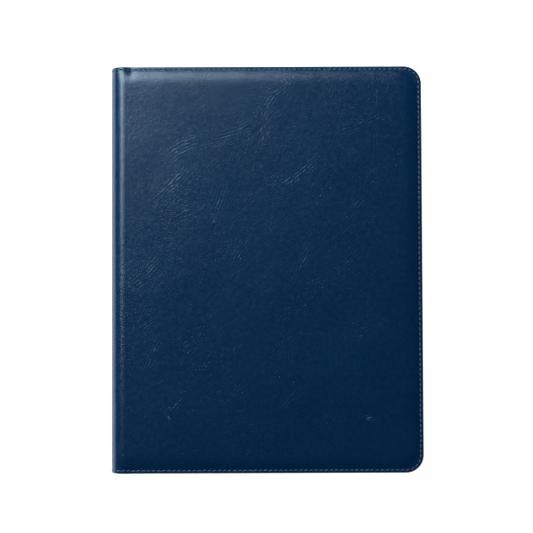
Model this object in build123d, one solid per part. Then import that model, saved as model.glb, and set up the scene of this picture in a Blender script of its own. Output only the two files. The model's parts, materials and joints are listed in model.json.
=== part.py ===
from build123d import *
import math
import os

os.makedirs("parts", exist_ok=True)

# A ring-bound pilot logbook lying closed on its back cover, in millimetres.
# X runs from the spine to the fore-edge, Y from tail to head, Z from the back cover to the front.
# Pieces are drawn with x = 0 on the outside of the spine, and moved to the middle on export.

# Sheets and their punching
SHEET_WIDTH = 148.0
SHEET_HEIGHT = 210.0
HOLE_RADIUS = 3.25
HOLE_SHIFT = 1.5          # holes hang this far outside the wire, which opening rings need
HOLE_MARGIN = 7.5         # punched edge to the middle of the holes
LOG_SECTION = 1.8         # thickness of one section of log sheets
DIVIDER = 0.4
LEAF = 0.3
SECTION_COUNT = 3
SHEET_GAP = 0.1
LEAF_GAP = 0.3
TAB_LENGTH = 40.0
TAB_REACH = 7.5
TAB_CORNER = 3.0

# Cover layers
LEATHER = 1.0
FOAM = 1.8
BOARD = 2.0
LINING = 0.6

# Cover outline
FORE_EDGE_ROOM = 12.5     # sheet edge to fore-edge
HEAD_ROOM = 16.0          # sheet edge to head, and to tail
FORE_CORNER = 10.7
SPINE_RADIUS = 9.0
CREASE_GAP = 0.3          # between the rigid halves of a bending shoulder
STITCH_MARGIN = 5.0
PAD_RISE = 5.0            # width of the slope from the margin up to the flat of the pad
LEAST_CORNER = 2.7        # corner of a layer that is inset past the fore corner's round
BOARD_INSET = 4.5
LINING_INSET = 2.5
STITCH_INSET = 1.9
THREAD = 0.5
THREAD_PROUD = 0.25

# Ring mechanism
RING_RADIUS = 11.0        # to the middle of the wire
WIRE_RADIUS = 1.5
RING_STEP = 19.0
RING_MIDDLE_STEP = 70.0
RING_RISE = 10.0          # ring centre above the back lining
RING_HEADROOM = 2.7       # top of the closed rings to the front lining
TIP_GAP = 0.15            # each ring tip to the joint between the two halves
PLATE_OVERHANG = 3.0      # base plate past the sheets, at each end
PLATE_SHOULDER = 2.0      # base plate half width beyond the ring's middle line
PLATE_WALL = 0.8
PLATE_SIDE = 3.4
PLATE_CROWN = 5.1
PLATE_THROAT = 0.2        # how much lower the arch springs on the inside
PLATE_LEDGE = 2.0         # base plate past the start of the back cover's flat
TOGGLE = 0.8
TOGGLE_LIFT = 0.6         # toggle plates above the back lining
TOGGLE_SHORT = 9.5        # toggle plates stop this far inside the base plate's ends
TOGGLE_MIDDLE_GAP = 0.3
RUNNING_GAP = 0.3
SLOT_HALF_WIDTH = 1.9
SLOT_SWEEP = 3.5          # ring slot past the wire, towards the middle
STACK_LEDGE = 4.2         # the raised sheets reach this far past the base plate
STACK_SLOPE = 5.0         # run of the sheets' slope for each unit of its fall

# Rivets and levers
RIVET_FROM_END = 22.0
RIVET_RADIUS = 2.0
RIVET_HEAD_RADIUS = 3.5
RIVET_HEAD = 1.0
RIVET_ROUNDING = 0.8
RIVET_CLEARANCE = 0.1
RIVET_FLANGE_RADIUS = 3.2
RIVET_FLANGE = 0.3
WASHER_RADIUS = 5.0
WASHER = 0.5
PIN_FROM_END = 4.0
PIN_RISE = 2.2            # pin axis above the back lining
PIN_RADIUS = 0.9
PIN_CLEARANCE = 0.05
LEVER_WIDTH = 6.0
LEVER_BOSS_RADIUS = 1.7
LEVER_ARM = 1.1
LEVER_FOOT = 4.0
LEVER_REACH = 5.0
LEVER_TAB_HEIGHT = 7.0
LEVER_TAB_LEAN = 4.4

# Pockets, card and pen
POCKET_PANEL = 0.8
POCKET_ROOM = 8.0         # pocket edges inside the flat of the sheets, at each side
REAR_POCKET_HEIGHT = 130.0
POCKET_STEP = 10.0        # between one pocket and the next on the front lining
CARD_WIDTH = 85.6
CARD_HEIGHT = 54.0
CARD = 0.8
CARD_CORNER = 3.0
CARD_CLEARANCE = 0.15
CARD_FROM_HEAD = 17.85    # card to the head margin, with the card in its slot
SLOT_PANEL = 0.6
SLOT_SIDE = 4.0
SLOT_DEPTH = 43.0
SLOT_PITCH = 54.0
CARD_SLOT_COUNT = 2
PEN_RADIUS = 4.5          # the cap, which is the pen's widest piece
PEN_LENGTH = 138.0
PEN_FROM_FORE_EDGE = 11.2
LOOP_CLEARANCE = 0.3
LOOP_WALL = 0.8
LOOP_LENGTH = 30.0
LOOP_FLANGE = 11.0
BARREL_STEP = 0.3         # barrel radius under the cap's
BARREL_TOP = 8.0
CAP_WALL = 1.0
CAP_ROUNDING = 2.5
SPIGOT_LENGTH = 12.0
SPIGOT_CLEARANCE = 0.1
TIP_LENGTH = 12.0
TIP_END_RADIUS = 0.8
CLIP_WIDTH = 3.0
CLIP = 0.8
CLIP_LENGTH = 36.0
CLIP_ROOT = 4.0
CLIP_STAND_OFF = 0.9

# Sizes and places that follow
COVER_STACK = LEATHER + FOAM + BOARD + LINING
SPINE_STACK = LEATHER + BOARD + LINING
HOLE_PATH = RING_RADIUS + HOLE_SHIFT
PLATE_HALF_WIDTH = RING_RADIUS + PLATE_SHOULDER
PLATE_HALF_LENGTH = SHEET_HEIGHT / 2 + PLATE_OVERHANG
RING_X = SPINE_RADIUS - PLATE_LEDGE + PLATE_HALF_WIDTH
RING_Z = COVER_STACK + RING_RISE
SHEET_X = RING_X + HOLE_PATH - HOLE_MARGIN
SHEET_END = SHEET_X + SHEET_WIDTH
COVER_WIDTH = SHEET_END + FORE_EDGE_ROOM
HALF_HEIGHT = SHEET_HEIGHT / 2 + HEAD_ROOM
THICKNESS = RING_Z + RING_RADIUS + WIRE_RADIUS + RING_HEADROOM + COVER_STACK
FRONT_LINING_Z = THICKNESS - COVER_STACK
FRONT_BOARD_Z = FRONT_LINING_Z + LINING
FRONT_FOAM_Z = FRONT_BOARD_Z + BOARD
FRONT_LEATHER_Z = FRONT_FOAM_Z + FOAM
RING_YS = [side * (RING_MIDDLE_STEP / 2 + step * RING_STEP) for side in (-1, 1) for step in range(3)]
TOGGLE_Z = COVER_STACK + TOGGLE_LIFT
TOGGLE_TOP = TOGGLE_Z + TOGGLE
RIVET_Y = PLATE_HALF_LENGTH - RIVET_FROM_END
PIN_Y = PLATE_HALF_LENGTH - PIN_FROM_END
PIN_Z = COVER_STACK + PIN_RISE
CROWN_Z = COVER_STACK + PLATE_CROWN


def save(name, *solids):
    """Write one named piece, or a group of like pieces, with x = 0 moved to the middle of the cover."""
    shape = solids[0] if len(solids) == 1 else Compound(list(solids))
    export_step(Pos(-COVER_WIDTH / 2, 0, 0) * shape, f"parts/{name}.step")


def block(x0, x1, y0, y1, z0, z1):
    """A box between two corners."""
    middle = Pos((x0 + x1) / 2, (y0 + y1) / 2, (z0 + z1) / 2)
    return middle * Box(x1 - x0, y1 - y0, z1 - z0)


def upright(x, y, radius, z0, z1):
    """A cylinder along Z."""
    return Pos(x, y, (z0 + z1) / 2) * Cylinder(radius, z1 - z0)


def panel_face(x0, x1, half_height, corner):
    """A cover outline: square at the spine, rounded at the two fore-edge corners."""
    face = Pos((x0 + x1) / 2, 0, 0) * Rectangle(x1 - x0, 2 * half_height)
    return fillet(face.vertices().group_by(Axis.X)[-1], corner)


def inset_panel(x0, inset):
    """The cover outline drawn in from head, tail and fore-edge."""
    corner = max(FORE_CORNER - inset, LEAST_CORNER)
    return panel_face(x0, COVER_WIDTH - inset, HALF_HEIGHT - inset, corner)


def plate(face, z0, z1):
    """A face on the ground raised to z0 and thickened up to z1."""
    return extrude(Pos(0, 0, z0) * face, amount=z1 - z0)


def pad(x0, inset, z0, z1):
    """A pad with sloping sides at head, tail and fore-edge, and a square end at the spine."""
    base = Pos(0, 0, z0) * inset_panel(x0, inset)
    top = Pos(0, 0, z1) * inset_panel(x0, inset + PAD_RISE)
    return loft([base.face(), top.face()], ruled=True)


def to_back(shape):
    """The front cover's shape turned over to make the back cover's."""
    return mirror(shape, about=Plane.XY.offset(THICKNESS / 2))


def along_y(curves, half_length):
    """A closed outline in X and Z drawn out evenly to both sides."""
    return extrude(make_face(Plane.XZ * curves), amount=half_length, both=True)


def shoulder(outer, inner, start, end):
    """Part of the front shoulder's round, from 0 degrees at the spine to 90 at the cover."""
    centre = (SPINE_RADIUS, THICKNESS - SPINE_RADIUS)
    outside = CenterArc(centre, outer, 180 - end, end - start)
    inside = CenterArc(centre, inner, 180 - end, end - start)
    ends = Line(outside @ 0, inside @ 0) + Line(outside @ 1, inside @ 1)
    return along_y(outside + inside + ends, HALF_HEIGHT)


CREASE_ANGLE = math.degrees(CREASE_GAP / 2 / SPINE_RADIUS)
COVER_SIDE = (45 + CREASE_ANGLE, 90)
SPINE_SIDE = (0, 45 - CREASE_ANGLE)
LEATHER_BAND = (SPINE_RADIUS, SPINE_RADIUS - LEATHER)
LINING_BAND = (SPINE_RADIUS - LEATHER, SPINE_RADIUS - LEATHER - LINING)


# Covers: leather, foam, board and lining

def cover_leather():
    """The outer skin: a turned margin, a raised padded panel and its half of the shoulder."""
    margin = plate(inset_panel(SPINE_RADIUS, 0), FRONT_BOARD_Z, FRONT_FOAM_Z)
    skin = margin + pad(SPINE_RADIUS, STITCH_MARGIN, FRONT_FOAM_Z, THICKNESS)
    inside = cover_board() + cover_foam()
    return skin - inside + shoulder(*LEATHER_BAND, *COVER_SIDE)


def cover_foam():
    """The padding between the board and the leather."""
    return pad(SPINE_RADIUS + LEATHER, STITCH_MARGIN + LEATHER, FRONT_FOAM_Z, FRONT_LEATHER_Z)


def cover_board():
    """The stiff board inside the turned margin."""
    return plate(inset_panel(SPINE_RADIUS + LEATHER, BOARD_INSET), FRONT_BOARD_Z, FRONT_FOAM_Z)


def cover_lining():
    """The flat lining, its turn up the board's edge and its half of the shoulder."""
    half_height = HALF_HEIGHT - LINING_INSET
    flat = plate(inset_panel(SPINE_RADIUS - LINING, LINING_INSET), FRONT_LINING_Z, FRONT_BOARD_Z)
    turn_top = FRONT_LEATHER_Z - LINING / 2
    turn = block(SPINE_RADIUS - LINING, SPINE_RADIUS, -half_height, half_height, FRONT_LINING_Z, turn_top)
    band = shoulder(*LINING_BAND, *COVER_SIDE)
    return flat + turn + (band & block(0, SPINE_RADIUS, -half_height, half_height, 0, THICKNESS))


def cover_stitching():
    """The line of thread round head, fore-edge and tail, lying on the margin."""
    outer = inset_panel(SPINE_RADIUS, STITCH_INSET - THREAD / 2)
    inner = inset_panel(SPINE_RADIUS - THREAD, STITCH_INSET + THREAD / 2)
    return plate(outer - inner, FRONT_FOAM_Z, FRONT_FOAM_Z + THREAD_PROUD)


def rivet_bores(radius):
    """Through holes for the two rivets, in the back cover."""
    return [upright(RING_X, side * RIVET_Y, radius, 0, COVER_STACK + LINING) for side in (-1, 1)]


save("front_leather", cover_leather())
save("front_foam", cover_foam())
save("front_board", cover_board())
save("front_lining", cover_lining())
save("front_stitching", cover_stitching())
save("back_leather", to_back(cover_leather()))
save("back_foam", to_back(cover_foam()) - rivet_bores(WASHER_RADIUS + RUNNING_GAP))
save("back_board", to_back(cover_board()) - rivet_bores(RIVET_RADIUS + RIVET_CLEARANCE))
save("back_lining", to_back(cover_lining()) - rivet_bores(RIVET_RADIUS + RIVET_CLEARANCE))
save("back_stitching", to_back(cover_stitching()))


# Spine

def both_ends(shape):
    """The front shoulder's piece with its twin at the back shoulder."""
    return shape + to_back(shape)


def spine_flat(x0, x1, half_height, past):
    """A flat layer between the two shoulders, carried past them by a given amount."""
    return block(x0, x1, -half_height, half_height, SPINE_RADIUS - past, THICKNESS - SPINE_RADIUS + past)


def spine_leather():
    """The spine's flat and its halves of both shoulders."""
    return spine_flat(0, LEATHER, HALF_HEIGHT, 0) + both_ends(shoulder(*LEATHER_BAND, *SPINE_SIDE))


def spine_lining():
    """The lining over the spine board, turned round its edges and into the shoulders."""
    half_height = HALF_HEIGHT - LINING_INSET
    flat = spine_flat(SPINE_STACK - LINING, SPINE_STACK, half_height, LINING)
    edge_z = THICKNESS - SPINE_RADIUS
    turn = block(LEATHER + LINING / 2, SPINE_STACK, -half_height, half_height, edge_z, edge_z + LINING)
    band = shoulder(*LINING_BAND, *SPINE_SIDE)
    band = band & block(0, SPINE_RADIUS, -half_height, half_height, 0, THICKNESS)
    return flat + both_ends(turn + band)


save("spine_leather", spine_leather())
save("spine_board", spine_flat(LEATHER, LEATHER + BOARD, HALF_HEIGHT - BOARD_INSET, 0))
save("spine_lining", spine_lining())


# Ring mechanism on the back cover

def arched_face(half_width, side_z, crown_z, bottom_z):
    """The outline of a flat-sided channel with an arched top."""
    left = RING_X - half_width
    right = RING_X + half_width
    arch = ThreePointArc((left, side_z), (RING_X, crown_z), (right, side_z))
    foot = Polyline((left, side_z), (left, bottom_z), (right, bottom_z), (right, side_z))
    return arch + foot


def ring_slot(side, y):
    """The slot that one ring half passes through."""
    near = RING_RADIUS - WIRE_RADIUS - SLOT_SWEEP
    far = PLATE_HALF_WIDTH - PLATE_WALL - RUNNING_GAP
    x0, x1 = sorted((RING_X + side * near, RING_X + side * far))
    return block(x0, x1, y - SLOT_HALF_WIDTH, y + SLOT_HALF_WIDTH, TOGGLE_TOP, CROWN_Z + PLATE_WALL)


def base_plate():
    """The arched plate, slotted for the rings and bored for the rivets."""
    outer = arched_face(PLATE_HALF_WIDTH, COVER_STACK + PLATE_SIDE, CROWN_Z, COVER_STACK)
    inner = arched_face(
        PLATE_HALF_WIDTH - PLATE_WALL,
        COVER_STACK + PLATE_SIDE - PLATE_THROAT,
        CROWN_Z - PLATE_WALL,
        COVER_STACK - PLATE_WALL,
    )
    channel = along_y(outer, PLATE_HALF_LENGTH) - along_y(inner, PLATE_HALF_LENGTH + PLATE_WALL)
    slots = [ring_slot(side, y) for side in (-1, 1) for y in RING_YS]
    bores = [
        upright(RING_X, side * RIVET_Y, RIVET_RADIUS + RIVET_CLEARANCE, TOGGLE_TOP, CROWN_Z + PLATE_WALL)
        for side in (-1, 1)
    ]
    return channel - slots - bores - [lever_pin(side) for side in (-1, 1)]


def toggle_plate(side):
    """One of the two plates under the arch, which rock on their outer edges and carry the rings."""
    far = PLATE_HALF_WIDTH - PLATE_WALL - RUNNING_GAP
    x0, x1 = sorted((RING_X + side * TOGGLE_MIDDLE_GAP, RING_X + side * far))
    half_length = PLATE_HALF_LENGTH - TOGGLE_SHORT
    strip = block(x0, x1, -half_length, half_length, TOGGLE_Z, TOGGLE_TOP)
    notches = [
        upright(RING_X, end * RIVET_Y, RIVET_HEAD_RADIUS, TOGGLE_Z - TOGGLE, TOGGLE_TOP + TOGGLE)
        for end in (-1, 1)
    ]
    return strip - notches


def ring_half(side):
    """One half of a round ring, standing on its toggle plate."""
    ring = Pos(RING_X, 0, RING_Z) * Rot(90, 0, 0) * Torus(RING_RADIUS, WIRE_RADIUS)
    reach = RING_RADIUS + 2 * WIRE_RADIUS
    x0, x1 = sorted((RING_X + side * TIP_GAP, RING_X + side * reach))
    return ring & block(x0, x1, -reach, reach, TOGGLE_TOP, RING_Z + reach)


def rivet(side):
    """A flanged rivet that clamps the base plate to the board."""
    board_z = LEATHER + FOAM
    flange_z = board_z - WASHER - RIVET_FLANGE
    shank = upright(RING_X, side * RIVET_Y, RIVET_RADIUS, flange_z, CROWN_Z)
    flange = upright(RING_X, side * RIVET_Y, RIVET_FLANGE_RADIUS, flange_z, flange_z + RIVET_FLANGE)
    head = upright(RING_X, side * RIVET_Y, RIVET_HEAD_RADIUS, CROWN_Z, CROWN_Z + RIVET_HEAD)
    head = fillet(head.edges().group_by(Axis.Z)[-1], RIVET_ROUNDING)
    return shank + flange + head


def washer(side):
    """The washer that spreads a rivet's load under the board."""
    board_z = LEATHER + FOAM
    disc = upright(RING_X, side * RIVET_Y, WASHER_RADIUS, board_z - WASHER, board_z)
    return disc - upright(RING_X, side * RIVET_Y, RIVET_RADIUS + RIVET_CLEARANCE, 0, board_z + WASHER)


def lever_pin(side):
    """The pin through both sides of the base plate that a lever turns on."""
    return Pos(RING_X, side * PIN_Y, PIN_Z) * Rot(0, 90, 0) * Cylinder(PIN_RADIUS, 2 * PLATE_HALF_WIDTH)


def lever(side):
    """The opening lever: a foot under the arch, a boss on the pin and a thumb tab outside."""
    low = PIN_Z - LEVER_ARM / 2
    high = PIN_Z + LEVER_ARM / 2
    heel = PIN_Y + LEVER_REACH
    outline = Polyline(
        (PIN_Y - LEVER_FOOT, low),
        (heel, low),
        (heel + LEVER_TAB_LEAN, PIN_Z + LEVER_TAB_HEIGHT),
        (heel + LEVER_TAB_LEAN - LEVER_ARM, PIN_Z + LEVER_TAB_HEIGHT + LEVER_ARM / 2),
        (heel - LEVER_ARM, high),
        (PIN_Y - LEVER_FOOT, high),
        close=True,
    )
    arm = extrude(make_face(Plane.YZ * outline), amount=LEVER_WIDTH / 2, both=True)
    at_pin = Pos(0, PIN_Y, PIN_Z) * Rot(0, 90, 0)
    body = arm + at_pin * Cylinder(LEVER_BOSS_RADIUS, LEVER_WIDTH)
    body = Pos(RING_X, 0, 0) * (body - at_pin * Cylinder(PIN_RADIUS + PIN_CLEARANCE, 2 * LEVER_WIDTH))
    return body if side > 0 else mirror(body, about=Plane.XZ)


def six(half):
    """Copies of a ring half at all six places."""
    return [Pos(0, y, 0) * half for y in RING_YS]


save("ring_base_plate", base_plate())
save("ring_rivets", rivet(-1), rivet(1))
save("rivet_washers", washer(-1), washer(1))
save("lever_pins", lever_pin(-1), lever_pin(1))
save("ring_halves_right", *six(ring_half(1)))
save("ring_halves_left", *six(ring_half(-1)))
save("toggle_plate_right", toggle_plate(1))
save("toggle_plate_left", toggle_plate(-1))
save("lever_head", lever(1))
save("lever_tail", lever(-1))


# Sheets and dividers, raised over the base plate and lying flat beyond it

STACK_FLAT_Z = COVER_STACK + POCKET_PANEL + LEAF_GAP
STACK_RAISED_Z = CROWN_Z + LEAF_GAP
STACK_LIFT = STACK_RAISED_Z - STACK_FLAT_Z
RAISED_END = RING_X + PLATE_HALF_WIDTH + STACK_LEDGE
SLOPE_END = RAISED_END + STACK_SLOPE * STACK_LIFT
HOLES = [
    Pos(RING_X, y, RING_Z) * Rot(90, 0, 0) * Torus(HOLE_PATH, HOLE_RADIUS)
    for y in RING_YS
]


def bent_sheet(offset, thickness):
    """A punched layer that lies on the layers below it, at a given height in the stack."""
    low = STACK_FLAT_Z + offset
    high = STACK_RAISED_Z + offset
    outline = Polyline(
        (SHEET_X, high),
        (RAISED_END, high),
        (SLOPE_END, low),
        (SHEET_END, low),
        (SHEET_END, low + thickness),
        (SLOPE_END, low + thickness),
        (RAISED_END, high + thickness),
        (SHEET_X, high + thickness),
        close=True,
    )
    return along_y(outline, SHEET_HEIGHT / 2) - HOLES


def tab(index, offset):
    """A divider's tab past the sheets' fore-edge, each further down than the last."""
    places = SECTION_COUNT + 1
    pitch = (SHEET_HEIGHT - TAB_LENGTH) / (places - 1)
    y = (SHEET_HEIGHT - TAB_LENGTH) / 2 - index * pitch
    face = Pos(SHEET_END, y, 0) * Rectangle(2 * TAB_REACH, TAB_LENGTH)
    face = fillet(face.vertices().group_by(Axis.X)[-1], TAB_CORNER)
    z0 = STACK_FLAT_Z + offset
    past_sheet = block(0, SHEET_END, -HALF_HEIGHT, HALF_HEIGHT, 0, THICKNESS)
    return plate(face, z0, z0 + DIVIDER) - past_sheet


def save_stack():
    """Write dividers and log sections in turn, from the bottom up, and return the stack's height."""
    offset = 0.0
    for level in range(SECTION_COUNT + 1):
        index = SECTION_COUNT - level
        save(f"divider_{index + 1}", bent_sheet(offset, DIVIDER) + tab(index, offset))
        offset += DIVIDER + SHEET_GAP
        if index > 0:
            save(f"log_sheets_{index}", bent_sheet(offset, LOG_SECTION))
            offset += LOG_SECTION + SHEET_GAP
    return offset - SHEET_GAP


STACK_HEIGHT = save_stack()
LEAF_SLOPE = math.atan2(STACK_LIFT, SHEET_END - RAISED_END)


def loose_leaf(level):
    """A flat leaf resting on the stack at the rings and at its fore-edge."""
    corner_z = STACK_RAISED_Z + STACK_HEIGHT + LEAF_GAP + level * (LEAF + SHEET_GAP)
    near_z = corner_z + (RAISED_END - SHEET_X) * math.tan(LEAF_SLOPE)
    far_z = corner_z - (SHEET_END - RAISED_END) * math.tan(LEAF_SLOPE)
    outline = Polyline(
        (SHEET_X, near_z),
        (SHEET_END, far_z),
        (SHEET_END, far_z + LEAF),
        (SHEET_X, near_z + LEAF),
        close=True,
    )
    return along_y(outline, SHEET_HEIGHT / 2) - HOLES


save("current_log_leaf", loose_leaf(0))
save("clear_flyleaf", loose_leaf(1))


# Pockets, card and pen

PANEL_NEAR = RAISED_END + POCKET_ROOM
PANEL_FAR = SHEET_END - POCKET_ROOM
PANEL_TAIL = -HALF_HEIGHT + STITCH_MARGIN
CARD_TAIL = -PANEL_TAIL - CARD_FROM_HEAD - CARD_HEIGHT
SLOT_TAIL = CARD_TAIL - CARD_CLEARANCE - SLOT_SIDE - (CARD_SLOT_COUNT - 1) * SLOT_PITCH
DOCUMENT_POCKET_HEIGHT = SLOT_TAIL - POCKET_STEP - PANEL_TAIL


def pocket(z0, height):
    """A flat pocket panel that starts at the tail of the lining."""
    face = Pos((PANEL_NEAR + PANEL_FAR) / 2, PANEL_TAIL + height / 2, 0)
    face = face * RectangleRounded(PANEL_FAR - PANEL_NEAR, height, CARD_CORNER)
    return plate(face, z0, z0 + POCKET_PANEL)


CARD_Z = FRONT_LINING_Z - CARD_CLEARANCE - CARD
SLOT_Z = CARD_Z - CARD_CLEARANCE - SLOT_PANEL
SLOT_X = (PANEL_NEAR + PANEL_FAR) / 2
SLOT_HALF_SPAN = CARD_WIDTH / 2 + CARD_CLEARANCE + SLOT_SIDE


def card_slot(index):
    """One slot: a panel with a seam down both sides and across its tail."""
    tail = SLOT_TAIL + index * SLOT_PITCH
    head = tail + SLOT_DEPTH
    body = block(SLOT_X - SLOT_HALF_SPAN, SLOT_X + SLOT_HALF_SPAN, tail, head, SLOT_Z, FRONT_LINING_Z)
    half_span = CARD_WIDTH / 2 + CARD_CLEARANCE
    space = block(
        SLOT_X - half_span, SLOT_X + half_span, tail + SLOT_SIDE, head + SLOT_SIDE,
        CARD_Z - CARD_CLEARANCE, FRONT_LINING_Z + SLOT_PANEL,
    )
    return body - space


def licence_card():
    """The card in the slot nearest the head."""
    face = Pos(SLOT_X, CARD_TAIL + CARD_HEIGHT / 2, 0) * RectangleRounded(CARD_WIDTH, CARD_HEIGHT, CARD_CORNER)
    return plate(face, CARD_Z, CARD_Z + CARD)


save("rear_pocket", pocket(COVER_STACK, REAR_POCKET_HEIGHT))
save("document_pocket", pocket(FRONT_LINING_Z - POCKET_PANEL, DOCUMENT_POCKET_HEIGHT))
save("card_slots", *[card_slot(index) for index in range(CARD_SLOT_COUNT)])
save("licence_card", licence_card())

LOOP_RADIUS = PEN_RADIUS + LOOP_CLEARANCE + LOOP_WALL
PEN_X = COVER_WIDTH - PEN_FROM_FORE_EDGE
PEN_Z = FRONT_LINING_Z - LOOP_RADIUS
PEN_AXIS = Pos(PEN_X, 0, PEN_Z) * Rot(-90, 0, 0)
BARREL_RADIUS = PEN_RADIUS - BARREL_STEP
SPIGOT_RADIUS = PEN_RADIUS - CAP_WALL - SPIGOT_CLEARANCE


def pen_loop():
    """The elastic loop that holds the pen, with its flange flat on the lining."""
    tube = PEN_AXIS * Cylinder(LOOP_RADIUS, LOOP_LENGTH)
    bore = PEN_AXIS * Cylinder(PEN_RADIUS + LOOP_CLEARANCE, 2 * LOOP_LENGTH)
    flange = block(
        PEN_X - LOOP_FLANGE, PEN_X, -LOOP_LENGTH / 2, LOOP_LENGTH / 2,
        FRONT_LINING_Z - LOOP_WALL, FRONT_LINING_Z,
    )
    return flange + tube - bore


def round_bar(radius, z0, z1):
    """A stretch of the pen between two places along its own axis."""
    return upright(0, 0, radius, z0, z1)


def pen_pieces():
    """The pen's tip, barrel, cap and clip, along the pen's own axis."""
    point = -PEN_LENGTH / 2
    top = PEN_LENGTH / 2
    barrel_low = point + TIP_LENGTH
    tip = Pos(0, 0, point + TIP_LENGTH / 2) * Cone(TIP_END_RADIUS, BARREL_RADIUS, TIP_LENGTH)
    barrel = round_bar(BARREL_RADIUS, barrel_low, BARREL_TOP)
    barrel = barrel + round_bar(SPIGOT_RADIUS, BARREL_TOP, BARREL_TOP + SPIGOT_LENGTH)
    cap = round_bar(PEN_RADIUS, BARREL_TOP, top)
    cap = fillet(cap.edges().group_by(Axis.Z)[-1], CAP_ROUNDING)
    bore_end = BARREL_TOP + SPIGOT_LENGTH + SPIGOT_CLEARANCE
    cap = cap - round_bar(SPIGOT_RADIUS + SPIGOT_CLEARANCE, BARREL_TOP, bore_end)
    clip_top = top - CAP_ROUNDING - CLIP
    strip_y = PEN_RADIUS + CLIP_STAND_OFF
    half = CLIP_WIDTH / 2
    strip = block(-half, half, strip_y, strip_y + CLIP, clip_top - CLIP_LENGTH, clip_top)
    root = block(-half, half, 0, strip_y + CLIP, clip_top - CLIP_ROOT, clip_top)
    clip = strip + root - round_bar(PEN_RADIUS, -PEN_LENGTH, PEN_LENGTH)
    return {"pen_tip": tip, "pen_barrel": barrel, "pen_cap": cap, "pen_clip": clip}


save("pen_loop", pen_loop())
for name, piece in pen_pieces().items():
    save(name, PEN_AXIS * piece)
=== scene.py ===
"""The looks of a ring-bound pilot logbook: padded navy covers, sewn edges, rings, ruled sheets and a pen."""

import itertools
import json
import logging
import math
import random
from collections.abc import Callable, Iterable
from dataclasses import dataclass
from enum import Enum

import bpy
import numpy as np
from mathutils import Euler, Matrix, Vector

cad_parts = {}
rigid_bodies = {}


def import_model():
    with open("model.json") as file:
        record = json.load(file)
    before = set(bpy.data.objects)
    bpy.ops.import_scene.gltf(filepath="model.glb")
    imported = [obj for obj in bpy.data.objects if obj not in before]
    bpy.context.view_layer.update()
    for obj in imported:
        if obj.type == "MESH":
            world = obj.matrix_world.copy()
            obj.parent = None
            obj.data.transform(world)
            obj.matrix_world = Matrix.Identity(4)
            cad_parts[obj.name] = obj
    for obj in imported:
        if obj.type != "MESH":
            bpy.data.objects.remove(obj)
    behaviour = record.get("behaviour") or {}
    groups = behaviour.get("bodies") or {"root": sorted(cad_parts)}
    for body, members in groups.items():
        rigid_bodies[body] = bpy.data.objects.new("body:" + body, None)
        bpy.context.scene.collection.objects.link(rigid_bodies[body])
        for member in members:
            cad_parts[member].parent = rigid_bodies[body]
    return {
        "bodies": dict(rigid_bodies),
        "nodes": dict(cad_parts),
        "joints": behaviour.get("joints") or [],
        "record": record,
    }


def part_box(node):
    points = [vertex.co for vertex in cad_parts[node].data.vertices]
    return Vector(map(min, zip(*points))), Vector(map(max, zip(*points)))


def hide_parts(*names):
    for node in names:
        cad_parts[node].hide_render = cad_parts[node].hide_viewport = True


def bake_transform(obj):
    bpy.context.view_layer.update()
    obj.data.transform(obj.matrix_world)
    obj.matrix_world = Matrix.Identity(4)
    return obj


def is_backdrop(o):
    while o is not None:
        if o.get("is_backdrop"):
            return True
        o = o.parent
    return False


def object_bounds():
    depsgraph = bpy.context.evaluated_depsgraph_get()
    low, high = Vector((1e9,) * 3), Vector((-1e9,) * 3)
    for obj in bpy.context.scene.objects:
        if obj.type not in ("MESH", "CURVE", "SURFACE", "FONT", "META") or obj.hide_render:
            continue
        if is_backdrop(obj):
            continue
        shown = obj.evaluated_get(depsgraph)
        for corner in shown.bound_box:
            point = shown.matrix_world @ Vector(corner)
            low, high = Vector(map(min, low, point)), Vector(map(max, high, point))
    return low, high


LOG = logging.getLogger("logbook")
MM = 0.001
Colour = tuple[float, float, float]
Socket = bpy.types.NodeSocket
Piece = bpy.types.Object
Material = bpy.types.Material
Place = Callable[[float, float], Vector]


class Side(Enum):
    """Which of the two covers a piece belongs to."""

    FRONT = "front"
    BACK = "back"

    @property
    def body(self) -> str:
        """The CAD body that carries this cover."""
        return f"{self.value}_cover"


class PatternSpace(Enum):
    """Where a finish reads its pattern from."""

    FLAT = "flat"
    OBJECT = "object"


# ---------------------------------------------------------------- node graphs


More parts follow.
